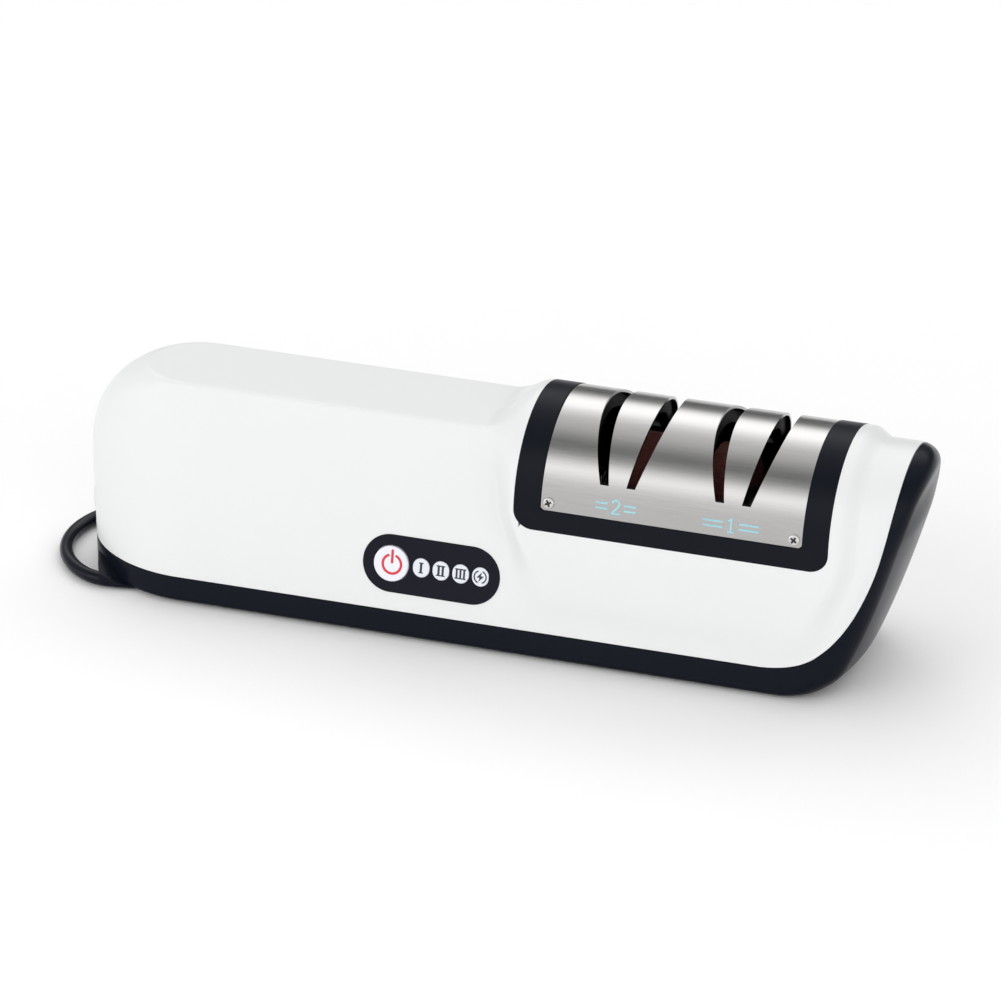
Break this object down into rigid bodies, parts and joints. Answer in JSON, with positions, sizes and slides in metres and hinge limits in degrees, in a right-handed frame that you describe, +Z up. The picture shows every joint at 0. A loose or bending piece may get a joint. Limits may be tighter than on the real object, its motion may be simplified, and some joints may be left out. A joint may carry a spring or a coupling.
{
  "type": "electric knife sharpener",
  "caption": "Cordless electric knife sharpener: long white body, black base that sweeps up into a slanted nose, steel cover with paired knife slots over spinning abrasive wheels, hanging loop",
  "frame": {"origin": "middle of the object's bounding box, on the table below it", "axes": "+X along the body towards the slanted nose, -Y the front with the control panel, +Z up"},
  "size_m": [0.2729, 0.0602, 0.0745],
  "materials": {
    "housing": "glossy white moulded plastic",
    "trim": "semi-gloss blue-black moulded plastic",
    "guide": "matte black plastic",
    "cover_steel": "stainless sheet brushed along its length",
    "screw_steel": "plated steel screws",
    "button": "white button with a red ring symbol",
    "lens": "translucent white lenses with dark symbols",
    "abrasive": "bonded abrasive, dark red-brown",
    "rubber": "soft rubber",
    "board": "green circuit board",
    "switch": "black switch body",
    "led": "small indicator lamps",
    "cell_wrap": "blue shrink wrap",
    "nickel": "nickel strip and plated steel",
    "inner_plastic": "dark inner plastic",
    "can": "zinc-plated steel can",
    "cap_plastic": "ivory plastic",
    "magnet": "dark sintered magnet",
    "bronze": "sintered bronze",
    "copper": "copper and enamelled wire",
    "core_steel": "stacked steel sheet",
    "shaft_steel": "ground steel",
    "spring_steel": "spring wire",
    "hub_plastic": "pale nylon",
    "wire": "red wire insulation"
  },
  "bodies": {
    "casing": {"upper_housing": "housing", "base_tray": "trim", "hanging_loop": "trim", "guide_bezel": "trim", "blade_guide": "guide", "slot_cover": "cover_steel", "cover_screws": "screw_steel", "control_panel": "trim", "indicator_lenses": "lens", "rubber_feet": "rubber", "housing_screws": "screw_steel", "charge_socket": "nickel", "control_board": "board", "board_screws": "screw_steel", "tact_switch": "switch", "indicator_leds": "led", "battery_cells": "cell_wrap", "battery_tabs": "nickel", "battery_cradle": "inner_plastic", "motor_can": "can", "motor_end_cap": "cap_plastic", "motor_magnets": "magnet", "motor_bushes": "bronze", "motor_brushes": "copper", "motor_bracket": "inner_plastic", "motor_screws": "screw_steel", "shaft_bushes": "bronze", "bearing_posts": "inner_plastic", "wire_leads": "wire"},
    "button": {"power_button": "button", "switch_plunger": "cap_plastic"},
    "spindle": {"armature_core": "core_steel", "armature_windings": "copper", "commutator": "copper", "motor_shaft": "shaft_steel", "shaft_coupling": "shaft_steel", "coupling_screws": "switch", "wheel_shaft": "shaft_steel", "fine_hub": "hub_plastic", "fine_wheel": "abrasive", "coarse_hub": "hub_plastic", "coarse_wheel": "abrasive", "spacer_sleeve": "shaft_steel", "fine_spring": "spring_steel", "coarse_spring": "spring_steel", "spring_collars": "shaft_steel"}
  },
  "joints": [
    {"name": "power_click", "type": "slide", "parent": "casing", "child": "button", "axis": [0, 0.974, -0.2266], "range_m": [0, 0.0006], "stiffness_N_per_m": 400},
    {"name": "spindle_spin", "type": "hinge", "parent": "casing", "child": "spindle", "pos_m": [0, 0, 0.046], "axis": [1, 0, 0], "continuous": true}
  ]
}
